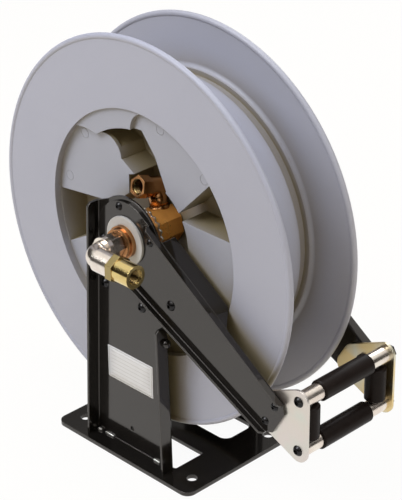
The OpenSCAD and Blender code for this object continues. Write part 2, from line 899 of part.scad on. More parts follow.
module hub_bolts() color(steel)
  ring_of_screws(4, hub_flange_d / 2 - 9, 20, web_back + hub_flange_t, hub_screw_d, hub_flange_t + drum_wall);

module shaft_collar() color(steel) turned()
  band(shaft_r + hole_gap, bush_or + 1, bush_back + end_gap, 0.4 * bush_back);

module gland_nut() color(brass) turned() {
  step = gland_front + 0.55 * gland_l;
  band(spigot_r + run_gap, shaft_r, step, shaft_front);
  band(spigot_r + run_gap, shaft_r - 2, gland_front, step);
}

// Moves to the outlet's corner, with X along the outlet leg
module at_outlet() {
  translate([hub_x, drum_y + outlet_depth, hub_z]) rotate([0, -outlet_angle, 0]) children();
}

// Solid bend in the XY plane: arrives along X at zero and turns towards -Y
module pipe_bend(r, bend, angle) {
  translate([0, -bend, 0]) rotate([0, 0, 90 - angle]) rotate_extrude(angle = angle)
    translate([bend, 0]) circle(r = r);
}

// Elbow with a closed back end: a leg from the shaft's boss into a wider port
module outlet_elbow() color(brass) at_outlet() {
  start = shaft_r + 3;
  port_r = outlet_d / 2;
  difference() {
    union() {
      translate([start, 0, 0]) rotate([0, 90, 0]) cylinder(r = port_r - 1, h = outlet_r - start);
      translate([outlet_r, 0, 0]) rotate([90, 0, outlet_tilt]) translate([0, 0, 4 - port_r])
        cylinder(r = port_r, h = 2 * port_r - 2);
    }
    translate([start - 1, 0, 0]) rotate([0, 90, 0])
      cylinder(r = passage_r - 1, h = outlet_r - start + 1);
    translate([outlet_r, 0, 0]) rotate([90, 0, outlet_tilt]) translate([0, 0, -passage_r / 2])
      cylinder(r = passage_r, h = 2 * outlet_d);
  }
}

module outlet_nipple() color(brass) at_outlet() {
  hex = 24;
  translate([outlet_r, 0, 0]) rotate([90, 0, outlet_tilt]) translate([0, 0, outlet_d / 2 + 2])
    difference() {
      cylinder(d = hex / cos(30), h = nipple_l, $fn = 6);
      translate([0, 0, -1]) cylinder(d = thread_bore, h = nipple_l + 2);
    }
}

// Spring motor

module spring_case() color(steel) difference() {
  turned() {
    band(arbor_d / 2 + 8, case_r, case_front, case_front + case_t);
    band(case_r - case_t, case_r, case_front, cover_front);
    band(case_r - case_t, cover_r, far_plate_back, cover_front);
  }
  slab(far_plate_back - 1, cover_front + 1) ring_of(6, cover_screw_r, 0)
    circle(d = cover_screw_d + 2 * hole_gap);
}

module spring_cover() color(drum_grey) difference() {
  turned() band(rear_bush_r + hole_gap, cover_r, cover_front, cover_back);
  slab(cover_front - 1, cover_back + 1) {
    ring_of(6, cover_screw_r, 0) circle(d = cover_screw_d + 2 * hole_gap);
    ring_of(4, ratchet_screw_r, 45) circle(d = ratchet_screw_d + 2 * hole_gap);
  }
}

module cover_screws() color(steel)
  ring_of_screws(6, cover_screw_r, 0, cover_back, cover_screw_d, 2 * case_t + flange_t);

// Flat spiral strip from the arbor to the wall of the case
module power_spring() color(steel) {
  steps = 18;
  inner = arbor_d / 2 + end_gap;
  outer = case_r - case_t - end_gap - spring_t;
  count = steps * spring_turns;
  radius = [for (i = [0 : count]) inner + (outer - inner) * i / count];
  slab(case_front + case_t + end_gap, cover_front - end_gap) polygon(concat(
    [for (i = [0 : count]) radius[i] * heading(360 * i / steps)],
    [for (i = [count : -1 : 0]) (radius[i] + spring_t) * heading(360 * i / steps)]
  ));
}

module rear_bush() color(nylon) turned() {
  inner = arbor_d / 2 + run_gap;
  band(inner, rear_bush_r, cover_front, ratchet_back);
  band(inner, rear_bush_r + 4, cover_front - end_gap, cover_front);
}

module ratchet_wheel() color(steel) {
  tip = ratchet_d / 2;
  root = tip - tooth_h;
  step = 360 / teeth;
  slab(ratchet_front, ratchet_back) difference() {
    polygon([for (i = [0 : teeth - 1], r = [tip, root]) r * heading(latch_angle + step * i)]);
    circle(d = ratchet_bore);
    ring_of(4, ratchet_screw_r, 45) circle(d = ratchet_screw_d + 2 * hole_gap);
  }
}

module ratchet_screws() color(steel)
  ring_of_screws(4, ratchet_screw_r, 45, ratchet_back, ratchet_screw_d, ratchet_t + case_t);

// Inlet swivel

// Solid of the inlet's neck, bend and leg, the straight ends a step wider than the bend
module inlet_way(r, back) {
  bend = 13.6;
  leg_y = drum_y - inlet_reach;
  turned() band(0, r, bend - inlet_reach - bend_lap, back);
  translate([hub_x, leg_y + bend, hub_z]) rotate([0, 0, -90]) mirror([0, 1, 0])
    pipe_bend(r - bend_step, bend, 90);
  translate([hub_x + bend - bend_lap, leg_y, hub_z]) rotate([0, 90, 0])
    cylinder(r = r, h = coupling_start() - bend + bend_lap);
}

module inlet_elbow() color(nickel) {
  neck_front = gland_front - end_gap;
  difference() {
    union() {
      inlet_way(12.3, neck_front);
      turned() {
        band(0, spigot_r, neck_front, 0);
        band(0, 15.8, neck_front - 22, neck_front - 15.5);
      }
      slab(neck_front - 16, neck_front) circle(d = 26 / cos(30), $fn = 6);
      translate([hub_x + 14.5, drum_y - inlet_reach, hub_z]) rotate([0, 90, 0])
        cylinder(r = 14.2, h = coupling_start() - 14.5);
    }
    inlet_way(passage_r, 0);
    for (depth = seal_depths()) turned() band(spigot_r - 1.5, spigot_r + 1, depth, depth + 2.4);
  }
}

function coupling_start() = inlet_l - thread_l - 15;
function seal_depths() = [gland_front + 14, gland_front + 22];

module inlet_coupling() color(brass) {
  hex_l = 10;
  start = coupling_start();
  translate([hub_x, drum_y - inlet_reach, hub_z]) rotate([0, 90, 0]) difference() {
    union() {
      translate([0, 0, start]) cylinder(d = 29.5 / cos(30), h = hex_l, $fn = 6);
      translate([0, 0, start + hex_l]) cylinder(d = 28, h = inlet_l - start - hex_l);
    }
    cylinder(r = passage_r, h = inlet_l);
    translate([0, 0, inlet_l - thread_l]) cylinder(d = thread_bore, h = thread_l + 1);
  }
}

module swivel_seals() color(roller_black)
  for (depth = seal_depths()) turned() band(spigot_r - 1.4, spigot_r - 0.02, depth + 0.1, depth + 2.3);

// Latch

module pawl() color(steel) {
  boss_r = pawl_boss_d / 2;
  front = ratchet_front + 0.5 * end_gap;
  back = ratchet_back - 0.5 * end_gap;
  difference() {
    union() {
      slab(front, back) {
        translate(pawl_pivot) circle(r = boss_r);
        polygon([
          pawl_point(0, boss_r - 1), pawl_point(46, 5.5), pawl_point(56.5, 5), pawl_point(56.5, 0),
          pawl_point(24, 0.8), pawl_point(14, -1), pawl_point(0, 1 - boss_r)
        ]);
      }
      slab(front, drum_w + side_gap - end_gap) translate(pawl_pivot) circle(r = boss_r);
      slab(front, ratchet_back + 4) translate(pawl_peg) circle(d = peg_d);
    }
    slab(front - 1, drum_w + side_gap) translate(pawl_pivot) circle(r = pawl_pin_d / 2 + run_gap);
  }
}

// Wire spring round the pawl boss, one leg behind each peg
module pawl_spring() color(steel) {
  in = pawl_boss_d / 2 + end_gap;
  low = peg_side + peg_d / 2 + end_gap;
  high = low + spring_wire;
  join = sqrt(pow(in + spring_wire / 2, 2) - pow((low + high) / 2, 2));
  slab(ratchet_back + 1, ratchet_back + 1 + spring_wire) {
    translate(pawl_pivot) difference() {
      circle(r = in + spring_wire);
      circle(r = in);
    }
    for (leg = [[join, 30], [-26, -join]]) polygon([
      pawl_point(leg[0], low), pawl_point(leg[1], low),
      pawl_point(leg[1], high), pawl_point(leg[0], high)
    ]);
  }
}

base_plate();
near_upright();
far_upright();
near_arm();
far_arm();
arm_stiffener();
near_mouth_plate();
far_mouth_plate();
mouth_spacers();
roller_axles();
axle_nuts();
side_roller_pins();
arm_end_bolts();
arm_end_nuts();
hub_screws();
index_screws();
front_bush();
spring_arbor();
arbor_nut();
pawl_pin();
upper_roller();
lower_roller();
near_side_roller();
far_side_roller();
near_drum_half();
far_drum_half();
drum_screws();
hub_shaft();
hub_bolts();
shaft_collar();
gland_nut();
outlet_elbow();
outlet_nipple();
spring_case();
spring_cover();
cover_screws();
power_spring();
rear_bush();
ratchet_wheel();
ratchet_screws();
inlet_elbow();
inlet_coupling();
swivel_seals();
pawl();
pawl_spring();
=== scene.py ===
import json

import bpy
import numpy as np
from mathutils import Matrix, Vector
from mathutils.bvhtree import BVHTree


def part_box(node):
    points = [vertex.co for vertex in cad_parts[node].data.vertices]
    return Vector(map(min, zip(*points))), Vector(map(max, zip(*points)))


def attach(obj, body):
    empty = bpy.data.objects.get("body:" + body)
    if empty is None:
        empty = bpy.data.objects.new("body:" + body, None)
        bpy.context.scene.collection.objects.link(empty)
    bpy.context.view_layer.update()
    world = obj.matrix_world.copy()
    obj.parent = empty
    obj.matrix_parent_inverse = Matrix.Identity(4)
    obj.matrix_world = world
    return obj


# An open hose reel: finishes for the CAD nodes, small pieces added as surfaces, and a white
# studio. Lengths are in metres; a number times MM is in millimetres.

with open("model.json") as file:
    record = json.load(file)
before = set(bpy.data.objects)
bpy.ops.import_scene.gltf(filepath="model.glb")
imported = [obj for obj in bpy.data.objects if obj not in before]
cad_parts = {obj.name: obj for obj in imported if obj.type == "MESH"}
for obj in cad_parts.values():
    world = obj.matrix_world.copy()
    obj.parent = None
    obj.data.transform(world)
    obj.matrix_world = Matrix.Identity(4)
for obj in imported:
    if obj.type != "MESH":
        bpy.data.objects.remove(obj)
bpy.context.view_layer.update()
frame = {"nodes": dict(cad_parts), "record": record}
NODES = frame["nodes"]
MOUNTS = {mount["name"]: mount for mount in frame["record"]["mounts"]}
MM = 0.001
DRUM_BOX = np.array(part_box("near_drum_half"))
HUB = DRUM_BOX.mean(0)
RECESS_RADIUS = 152.5 * MM
HEXAGON_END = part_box("inlet_coupling")[0][0] + 10.1 * MM
BASE_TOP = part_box("near_upright")[0][2]


def at_hub(x, depth, z):
    """A place given in millimetres from the hub: forward, in from the near rim, and up."""
    return np.array([HUB[0] + x * MM, DRUM_BOX[0, 1] + depth * MM, HUB[2] + z * MM])


def face_at(node, start, along):
    """The first point of a CAD node on the straight line from start along a direction."""
    mesh = NODES[node].data
    corners = [vertex.co for vertex in mesh.vertices]
    tree = BVHTree.FromPolygons(corners, [face.vertices for face in mesh.polygons])
    return np.array(tree.ray_cast(start, along)[0])


LABEL_PLACE = at_hub(-3.0, -17.5, -179.0)
LABEL_MID = (LABEL_PLACE[0], LABEL_PLACE[2])
LABEL_SIZE = (79 * MM, 44 * MM)


# Shader maths

class Wire:
    """A socket of a node tree. Arithmetic on it adds Math nodes to its tree."""

    def __init__(self, graph, socket):
        self.graph = graph
        self.socket = socket

    def __add__(self, other):
        return self.graph.math("ADD", self, other)

    def __radd__(self, other):
        return self.graph.math("ADD", other, self)

    def __sub__(self, other):
        return self.graph.math("SUBTRACT", self, other)

    def __rsub__(self, other):
        return self.graph.math("SUBTRACT", other, self)

    def __mul__(self, other):
        return self.graph.math("MULTIPLY", self, other)

    def __rmul__(self, other):
        return self.graph.math("MULTIPLY", other, self)

    def __truediv__(self, other):
        return self.graph.math("DIVIDE", self, other)

    def __pow__(self, other):
        return self.graph.math("POWER", self, other)

    def __lt__(self, other):
        return self.graph.math("LESS_THAN", self, other)

    def __abs__(self):
        return self.graph.math("ABSOLUTE", self)

    def most(self, other):
        return self.graph.math("MAXIMUM", self, other)

    def clamped(self):
        return self.graph.math("ADD", self, 0.0, use_clamp=True)


class Graph:
    """Writes one node tree."""

    BEVEL_SAMPLES = 6
    OPENNESS_SAMPLES = 8
    NOISE_ROUGHNESS = 0.55

    def __init__(self, tree):
        self.tree = tree
        self.tree.nodes.clear()

    def node(self, kind, settings=(), inputs=(), out=0):
        """One node: type, settings, its sockets' values or links, and the output to use."""
        made = self.tree.nodes.new(kind)
        for key, value in dict(settings).items():
            setattr(made, key, value)
        for key, value in dict(inputs).items():
            if isinstance(value, Wire):
                self.tree.links.new(value.socket, made.inputs[key])
            else:
                made.inputs[key].default_value = value
        return Wire(self, made.outputs[out]) if made.outputs else made

    def math(self, operation, first, second=None, use_clamp=False):
        values = {0: first} if second is None else {0: first, 1: second}
        settings = {"operation": operation, "use_clamp": use_clamp}
        return self.node("ShaderNodeMath", settings, values)

    def place(self):
        """Object coordinates, in metres, in the frame of the whole part."""
        return self.node("ShaderNodeTexCoord", out="Object")

    def axes(self, where):
        split = self.node("ShaderNodeSeparateXYZ", inputs={"Vector": where})
        return [Wire(self, output) for output in split.socket.node.outputs]

    def noise(self, where, scale, detail):
        return self.node("ShaderNodeTexNoise", inputs={
            "Vector": where, "Scale": scale, "Detail": detail,
            "Roughness": self.NOISE_ROUGHNESS})

    def lines(self, where, scale, detail=2.0):
        """Noise stretched by its own scale along each axis."""
        mapped = self.node("ShaderNodeMapping", inputs={"Vector": where, "Scale": scale})
        return self.noise(mapped, 1.0, detail)

    def between(self, value, low, high):
        """Zero below low, one above high, straight between."""
        return self.node("ShaderNodeMapRange", {"clamp": True}, {
            "Value": value, "From Min": low, "From Max": high})

    def ramp(self, value, stops):
        """A colour read from stops, each a place from 0 to 1 and a colour."""
        wire = self.node("ShaderNodeValToRGB", inputs={"Fac": value})
        elements = wire.socket.node.color_ramp.elements
        made = [elements[0], elements[1]] + [elements.new(0.5) for _ in stops[2:]]
        for stop, (at, colour) in zip(made, stops):
            stop.position = at
            stop.color = (*colour, 1.0)
        return wire

    def blend(self, share, first, second):
        """A colour that goes from first to second as share goes from 0 to 1."""
        sides = [c if isinstance(c, Wire) else (*c, 1.0) for c in (first, second)]
        return self.node("ShaderNodeMix", {"data_type": "RGBA"}, {
            "Factor": share, 6: sides[0], 7: sides[1]}, out=2)

    def rounded_edges(self, radius):
        """Normal that rounds the sharp edges of a solid by a small radius."""
        return self.node("ShaderNodeBevel", {"samples": self.BEVEL_SAMPLES}, {"Radius": radius})

    def edge(self, reach):
        """One along sharp edges, nought on faces.

        It is how far the rounded normal leans from the face's own.
        """
        flat = self.node("ShaderNodeNewGeometry", out="True Normal")
        lean = self.node("ShaderNodeVectorMath", {"operation": "DOT_PRODUCT"}, {
            0: self.rounded_edges(reach), 1: flat}, out="Value")
        return self.between(1.0 - lean, 0.03, 0.25)

    def openness(self, reach):
        """How open a spot is: low inside bores and corners, one on outer faces."""
        settings = {"samples": self.OPENNESS_SAMPLES}
        sky = self.node("ShaderNodeAmbientOcclusion", settings, {"Distance": reach}, out="AO")
        return self.between(sky, 0.25, 0.75)

    def relief(self, height, strength, distance, edge):
        """Normal of a finely uneven surface whose sharp edges are rounded by a radius."""
        return self.node("ShaderNodeBump", inputs={
            "Height": height, "Strength": strength, "Distance": distance,
            "Normal": self.rounded_edges(edge)})


def finish(name, write):
    """A material whose Principled sockets are what write(graph) returns."""
    material = bpy.data.materials.new(name)
    material.use_nodes = True
    graph = Graph(material.node_tree)
    shader = graph.node("ShaderNodeBsdfPrincipled", inputs=write(graph))
    graph.node("ShaderNodeOutputMaterial", inputs={"Surface": shader})
    return material


# Finishes

def drum_plastic(g):
    """Pale grey moulded plastic: cloudy tint, painted shade that turns the hollows warm brown, a
    fine satin grain.

    Painted shade: the near recess is a little darker, and the far half a little less blue, for
    the warm shade between the flanges.
    """
    grey, cloud_grey = (0.336, 0.353, 0.456), (0.353, 0.369, 0.47)
    recess_shade_grey, far_shade_grey = (0.306, 0.322, 0.405), (0.341, 0.352, 0.432)
    hollow_shade_brown, speck_grey = (0.235, 0.195, 0.115), (0.3, 0.3, 0.31)
    where = g.place()
    x, y, z = g.axes(where)
    cloud = g.between(g.noise(where, 7.0, 4.0), 0.35, 0.65)
    speck = g.between(g.noise(where, 320.0, 2.0), 0.62, 0.8)
    grain = g.noise(where, 1500.0, 2.0) * 0.5 + g.noise(where, 130.0, 3.0) * 0.5
    out = g.math("SQRT", (x - HUB[0]) ** 2.0 + (z - HUB[2]) ** 2.0)
    near = g.blend(cloud * 0.5, grey, cloud_grey)
    # Painted shade: darker inside the recess.
    sunk = g.blend(g.between(out, RECESS_RADIUS - 2 * MM, RECESS_RADIUS), recess_shade_grey, near)
    # Painted shade: less blue deeper in, for the shade between the flanges.
    face = g.blend(g.between(y, 0.0, 45 * MM), sunk, far_shade_grey)
    # Painted shade: where the occlusion finds a hollow, the colour turns warm brown.
    warm = g.blend(g.openness(75 * MM), hollow_shade_brown, face)
    return {
        "Base Color": g.blend(speck * 0.12, warm, speck_grey),
        "Roughness": 0.36 + 0.1 * g.noise(where, 40.0, 3.0),
        "Normal": g.relief(grain, 0.09, 0.5 * MM, edge=1.2 * MM),
        "Specular IOR Level": 0.45,
    }


def black_paint(g):
    """Glossy stoved black paint with orange peel, a little dust, and paler edges that are partly
    wear and partly a painted highlight.
    """
    black, haze_black = (0.005, 0.0046, 0.0046), (0.01, 0.009, 0.0085)
    dust_grey, worn_and_highlight_grey = (0.03, 0.028, 0.027), (0.16, 0.155, 0.155)
    where = g.place()
    peel = g.noise(where, 260.0, 2.0)
    haze = g.noise(where, 18.0, 4.0)
    dust = g.between(g.noise(where, 900.0, 2.0), 0.66, 0.8)
    coat = g.blend(dust * 0.15, g.blend(haze, black, haze_black), dust_grey)
    return {
        # Paler edges: partly wear, partly a painted highlight along the edges.
        "Base Color": g.blend(g.edge(1.2 * MM) * haze, coat, worn_and_highlight_grey),
        "Roughness": 0.07 + 0.07 * haze,
        "Normal": g.relief(peel, 0.025, 0.6 * MM, edge=1.3 * MM),
        "Specular IOR Level": 0.66,
        "Specular Tint": (1.0, 0.93, 0.87, 1.0),
    }


def zinc_plate(g, warm=(0.70, 0.645, 0.565), pink=(0.71, 0.635, 0.62)):
    """Bright passivated zinc: warm, pinkish and greenish bloom over fine rolling lines."""
    green = (0.645, 0.665, 0.59)
    where = g.place()
    bloom = g.between(g.noise(where, 16.0, 4.0), 0.3, 0.7)
    green_bloom = g.between(g.noise(where, 24.0, 2.0), 0.5, 0.7)
    lines = g.lines(where, (60.0, 60.0, 1400.0))
    return {
        "Base Color": g.blend(green_bloom, g.blend(bloom, warm, pink), green),
        "Metallic": 1.0,
        "Roughness": 0.26 + 0.12 * g.noise(where, 160.0, 3.0) + 0.06 * lines,
        "Normal": g.relief(lines, 0.05, 0.3 * MM, edge=0.7 * MM),
    }


def zinc_with_painted_reflection(g):
    """Zinc tinted yellow over its bloom: a painted warm reflection on the far plate."""
    return zinc_plate(g, (0.77, 0.59, 0.28), (0.75, 0.6, 0.33))


def polished_nickel(g):
    """Polished nickel with a faint warm cast, fine scratches and small dull patches."""
    bright, dull = (0.84, 0.77, 0.685), (0.76, 0.655, 0.575)
    where = g.place()
    patch = g.between(g.noise(where, 70.0, 3.0), 0.35, 0.7)
    scratches = g.lines(where, (1800.0, 1800.0, 1800.0))
    return {
        "Base Color": g.blend(patch, bright, dull),
        "Metallic": 1.0,
        "Roughness": 0.19 + 0.1 * patch,
        "Normal": g.relief(scratches, 0.03, 0.2 * MM, edge=0.6 * MM),
    }


def machined_brass(g):
    """Turned brass, yellow, with fine tool lines and a slight tarnish.

    The coupling's hexagon is painted darker as a painted dark reflection, and the bores get
    painted brown shade.
    """
    yellow, tarnish_brown = (0.74, 0.57, 0.24), (0.5, 0.36, 0.13)
    hexagon_shade_brass, bore_shade_brown = (0.36, 0.28, 0.125), (0.17, 0.085, 0.035)
    where = g.place()
    x, _, _ = g.axes(where)
    tarnish = g.between(g.noise(where, 55.0, 4.0), 0.45, 0.75)
    turned = g.between(x, HEXAGON_END - 0.2 * MM, HEXAGON_END)
    # Painted reflection: the hexagon is given a darker brass colour.
    tint = g.blend(turned, hexagon_shade_brass, g.blend(tarnish * 0.6, yellow, tarnish_brown))
    return {
        # Painted shade: brown inside the bores.
        "Base Color": g.blend(g.openness(16 * MM), bore_shade_brown, tint),
        "Metallic": 1.0,
        "Roughness": 0.13 + 0.12 * tarnish,
        "Normal": g.relief(g.lines(where, (2200.0, 500.0, 500.0)), 0.05, 0.2 * MM, edge=0.6 * MM),
    }


def cast_metal(g, pale, deep, gloss, bore, metal):
    """Cast and turned metal: a pale colour with deeper streaks, and painted brown shade in its
    bores.

    gloss is the least roughness, bore the reach of the painted shade, metal the share of metal.
    """
    bore_shade_brown = (0.13, 0.055, 0.025)
    where = g.place()
    streak = g.between(g.noise(where, 60.0, 5.0), 0.35, 0.75)
    tint = g.blend(streak * 0.7, pale, deep)
    return {
        # Painted shade: brown inside the bores, as far as the bore reach.
        "Base Color": g.blend(g.openness(bore), bore_shade_brown, tint),
        "Metallic": metal,
        "Roughness": gloss + 0.16 * streak,
        "Normal": g.relief(g.noise(where, 700.0, 2.0), 0.08, 0.3 * MM, edge=0.7 * MM),
    }


def hub_bronze(g):
    """The hub's metal: orange and rather dull."""
    return cast_metal(
        g, (0.95, 0.45, 0.11), (0.72, 0.29, 0.06), gloss=0.26, bore=4 * MM, metal=0.5)


def brown_copper(g):
    """The outlet's and gland's metal: redder, darker and smoother than the hub's."""
    return cast_metal(
        g, (0.5, 0.25, 0.105), (0.28, 0.125, 0.048), gloss=0.16, bore=14 * MM, metal=1.0)


def roller_plastic(g):
    """Brown-black hard plastic, lightly scuffed where a hose would rub."""
    black, brown = (0.0075, 0.005, 0.0045), (0.0125, 0.0085, 0.0075)
    scuff_grey = (0.03, 0.025, 0.025)
    where = g.place()
    scuff = g.between(g.lines(where, (700.0, 90.0, 700.0), 3.0), 0.55, 0.8)
    mottle = g.noise(where, 60.0, 3.0)
    return {
        "Base Color": g.blend(scuff * 0.25, g.blend(mottle, black, brown), scuff_grey),
        "Roughness": 0.3 + 0.16 * mottle,
        "Normal": g.relief(g.noise(where, 800.0, 2.0), 0.06, 0.3 * MM, edge=0.8 * MM),
        "Specular IOR Level": 0.09,
    }


def bearing_nylon(g):
    """White-grey nylon, slightly waxy."""
    where = g.place()
    mottle = g.noise(where, 90.0, 3.0)
    return {
        "Base Color": g.blend(mottle, (0.4, 0.4, 0.415), (0.46, 0.46, 0.47)),
        "Roughness": 0.36 + 0.12 * mottle,
        "Normal": g.relief(g.noise(where, 1200.0, 2.0), 0.05, 0.2 * MM, edge=0.6 * MM),
    }


def black_oxide(g):
    """Blackened steel screws: oily dark metal with brighter rubbed patches."""
    where = g.place()
    rubbed = g.between(g.noise(where, 240.0, 3.0), 0.55, 0.8)
    return {
        "Base Color": g.blend(rubbed, (0.028, 0.027, 0.028), (0.09, 0.085, 0.08)),
        "Metallic": 0.9,
        "Roughness": 0.2 + 0.14 * g.noise(where, 120.0, 3.0),
        "Normal": g.relief(g.noise(where, 900.0, 2.0), 0.05, 0.2 * MM, edge=0.5 * MM),
    }


def bright_steel(g):
    """Plain rolled or turned steel, grey, with fine lines and light staining."""
    where = g.place()
    stain = g.between(g.noise(where, 45.0, 4.0), 0.45, 0.75)
    return {
        "Base Color": g.blend(stain, (0.53, 0.52, 0.5), (0.4, 0.37, 0.33)),
        "Metallic": 1.0,
        "Roughness": 0.26 + 0.16 * stain,
        "Normal": g.relief(g.lines(where, (900.0, 900.0, 120.0)), 0.05, 0.2 * MM, edge=0.6 * MM),
    }


def seal_rubber(g):
    """Matt black rubber."""
    where = g.place()
    mottle = g.noise(where, 200.0, 2.0)
    return {
        "Base Color": g.blend(mottle, (0.012, 0.012, 0.012), (0.022, 0.022, 0.022)),
        "Roughness": 0.6 + 0.1 * g.noise(where, 150.0, 2.0),
        "Normal": g.relief(g.noise(where, 1500.0, 2.0), 0.06, 0.2 * MM, edge=0.3 * MM),
    }


def plain_label(g):
    """Pale film label with a thin dark frame and empty ruled rows."""
    margin, line, row, rule_share = 2.2 * MM, 0.22 * MM, 5.2 * MM, 0.045
    where = g.place()
    x, _, z = g.axes(where)
    across = abs(x - LABEL_MID[0])
    up = abs(z - LABEL_MID[1])
    half_w, half_h = LABEL_SIZE[0] / 2 - margin, LABEL_SIZE[1] / 2 - margin
    sides = (abs(across - half_w) < line) * (up < half_h)
    ends = (abs(up - half_h) < line) * (across < half_w)
    step = (z - LABEL_MID[1]) / row
    rule = abs(step - g.math("ROUND", step)) < rule_share
    rule = rule * (across < half_w - 3 * MM) * (up < half_h - 4 * MM)
    mark = (sides + ends + rule * 0.55).clamped()
    film = g.noise(where, 90.0, 3.0)
    paper = g.blend(film, (0.60, 0.62, 0.69), (0.65, 0.67, 0.74))
    return {
        "Base Color": g.blend(mark, paper, (0.16, 0.16, 0.17)),
        "Roughness": 0.3 + 0.12 * film,
        "Normal": g.relief(film, 0.04, 0.2 * MM, edge=0.2 * MM),
    }


# Surfaces

def full_turn(count):
    """Angles evenly round a circle."""
    return np.linspace(0, 2 * np.pi, count, endpoint=False)


def unit(vector):
    return np.array(vector) / np.linalg.norm(vector)


def ring_about(axis, hint, count):
    """Unit directions evenly round an axis, from the first one square to it and to a hint."""
    side = unit(np.cross(axis, hint))
    angle = full_turn(count)[:, None]
    return np.cos(angle) * side + np.sin(angle) * np.cross(side, axis)


def surface(name, points, around=False, along=False, caps=False, smooth=True):
    """A mesh from a grid of points, shape (rows, columns, 3).

    around joins the last column to the first, along the last row to the first. caps closes
    the first and last row with a fan on the row's middle.
    """
    rows, columns = points.shape[:2]
    i = np.arange(rows if along else rows - 1)[:, None]
    j = np.arange(columns if around else columns - 1)[None, :]
    i2, j2 = (i + 1) % rows, (j + 1) % columns
    quads = [i * columns + j, i * columns + j2, i2 * columns + j2, i2 * columns + j]
    corners = points.reshape(-1, 3)
    faces = np.stack(quads, -1).reshape(-1, 4).tolist()
    if caps:
        ring = np.arange(columns)
        after = np.roll(ring, -1)
        last = (rows - 1) * columns
        hubs = corners[:columns].mean(0), corners[last:].mean(0)
        first_fan = np.stack([after, ring, np.full(columns, len(corners))], -1)
        last_fan = np.stack([last + ring, last + after, np.full(columns, len(corners) + 1)], -1)
        corners = np.vstack([corners, hubs])
        faces += first_fan.tolist() + last_fan.tolist()
    mesh = bpy.data.meshes.new(name)
    mesh.from_pydata(corners.tolist(), [], faces)
    mesh.polygons.foreach_set("use_smooth", np.full(len(mesh.polygons), smooth))
    mesh.update()
    piece = bpy.data.objects.new(name, mesh)
    bpy.context.scene.collection.objects.link(piece)
    return piece


def turn_outward(piece):
    """Turns the faces of a closed piece outwards by the sign of its volume."""
    mesh = piece.data
    mesh.calc_loop_triangles()
    corners = np.empty(len(mesh.vertices) * 3)
    mesh.vertices.foreach_get("co", corners)
    index = np.empty(len(mesh.loop_triangles) * 3, int)
    mesh.loop_triangles.foreach_get("vertices", index)
    a, b, c = corners.reshape(-1, 3)[index.reshape(-1, 3)].transpose(1, 0, 2)
    if np.einsum("ij,ij->i", a, np.cross(b, c)).sum() < 0:
        mesh.flip_normals()


def put_on(piece, body, material):
    """Gives a piece its finish and the body that carries it."""
    piece.data.materials.append(material)
    turn_outward(piece)
    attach(piece, body)


def label_sheet(name, middle, size, y, thickness, corner):
    """A thin plate facing -Y: a rounded rectangle carried in from its edge to its middle.

    Row by row: the outline on the sheet behind, the outline near full thickness, the outline
    a little inside at full thickness, then the same outline shrunk to one half and closed by
    a fan.
    """
    angle = full_turn(64)
    turn = np.stack([np.cos(angle), np.sin(angle)], -1)
    core = np.array(size) / 2 - corner
    outline = np.sign(turn) * core + turn * corner
    inside = outline - 0.12 * MM * np.sign(outline)
    rows = []
    for flat, depth in ((outline, 0.0), (outline, 0.7), (inside, 1.0), (outline * 0.5, 1.0)):
        rows.append(np.stack([
            middle[0] + flat[:, 0],
            np.full(len(flat), y - depth * thickness),
            middle[1] + flat[:, 1]], -1))
    return surface(name, np.array(rows), around=True, caps=True)


def weld_bead(name, start, end, radius, ripples):
    """A bead on a line: a circle carried from start to end, its radius swelling in ripples.

    The radius is the bead's own times a half-sine taper at both ends, times nine tenths plus
    a fifth of a rectified sine along the run.
    """
    share = np.linspace(0, 1, 8 * ripples + 1)
    taper = np.sin(np.pi * np.clip(share, 0.02, 0.98)) ** 0.25
    swell = radius * taper * (0.9 + 0.2 * np.abs(np.sin(np.pi * ripples * share)))
    circle = ring_about(unit(end - start), (0.0, 0.0, 1.0), 16)
    line = start + share[:, None] * (end - start)
    points = line[:, None] + swell[:, None, None] * circle
    return surface(name, points, around=True, caps=True)


def ejector_ring(name, middle, radius, width, height):
    """A low ring on a face that looks along -Y: a flat ellipse carried round a circle."""
    turn = full_turn(48)[:, None]
    section = full_turn(10)[None, :]
    reach = radius + 0.5 * width * np.cos(section)
    points = np.stack([
        middle[0] + reach * np.cos(turn),
        middle[1] - height * np.sin(section) + 0 * turn,
        middle[2] + reach * np.sin(turn)], -1)
    return surface(name, points, around=True, along=True)


def toothed_ring(name, middle, inner, outer, tooth, teeth, thickness):
    """A washer that faces -Y, its edge cut into shallow teeth.

    The edge's radius is the outer one plus half a tooth times a steep wave of the angle. Rows
    run from the bore over the front face, round the edge and back over the rear face.
    """
    turn = full_turn(8 * teeth)
    edge = outer + 0.5 * tooth * np.tanh(3 * np.sin(teeth * turn))
    bore = np.full_like(turn, inner)
    soft = 0.3 * MM
    rows = [
        (bore, 0.0), (edge - soft, 0.0), (edge, soft),
        (edge, thickness - soft), (edge - soft, thickness), (bore, thickness)]
    points = np.array([np.stack([
        middle[0] + reach * np.cos(turn),
        np.full_like(turn, middle[1] + depth),
        middle[2] + reach * np.sin(turn)], -1) for reach, depth in rows])
    return surface(name, points, around=True, along=True, smooth=False)


def dome(name, foot, axis, radius, height):
    """A dome that stands along an axis: circles whose radius falls as a root of the cosine.

    The first circle lies a tenth of the height behind the foot.
    """
    rise = np.linspace(0, 0.49 * np.pi, 14)[:, None, None]
    circle = ring_about(axis, (0.0, 0.0, 1.0), 40)
    level = (1.1 * np.sin(rise) - 0.1) * height
    points = foot + level * np.array(axis) + radius * np.cos(rise) ** 0.6 * circle
    return surface(name, points, around=True, caps=True)


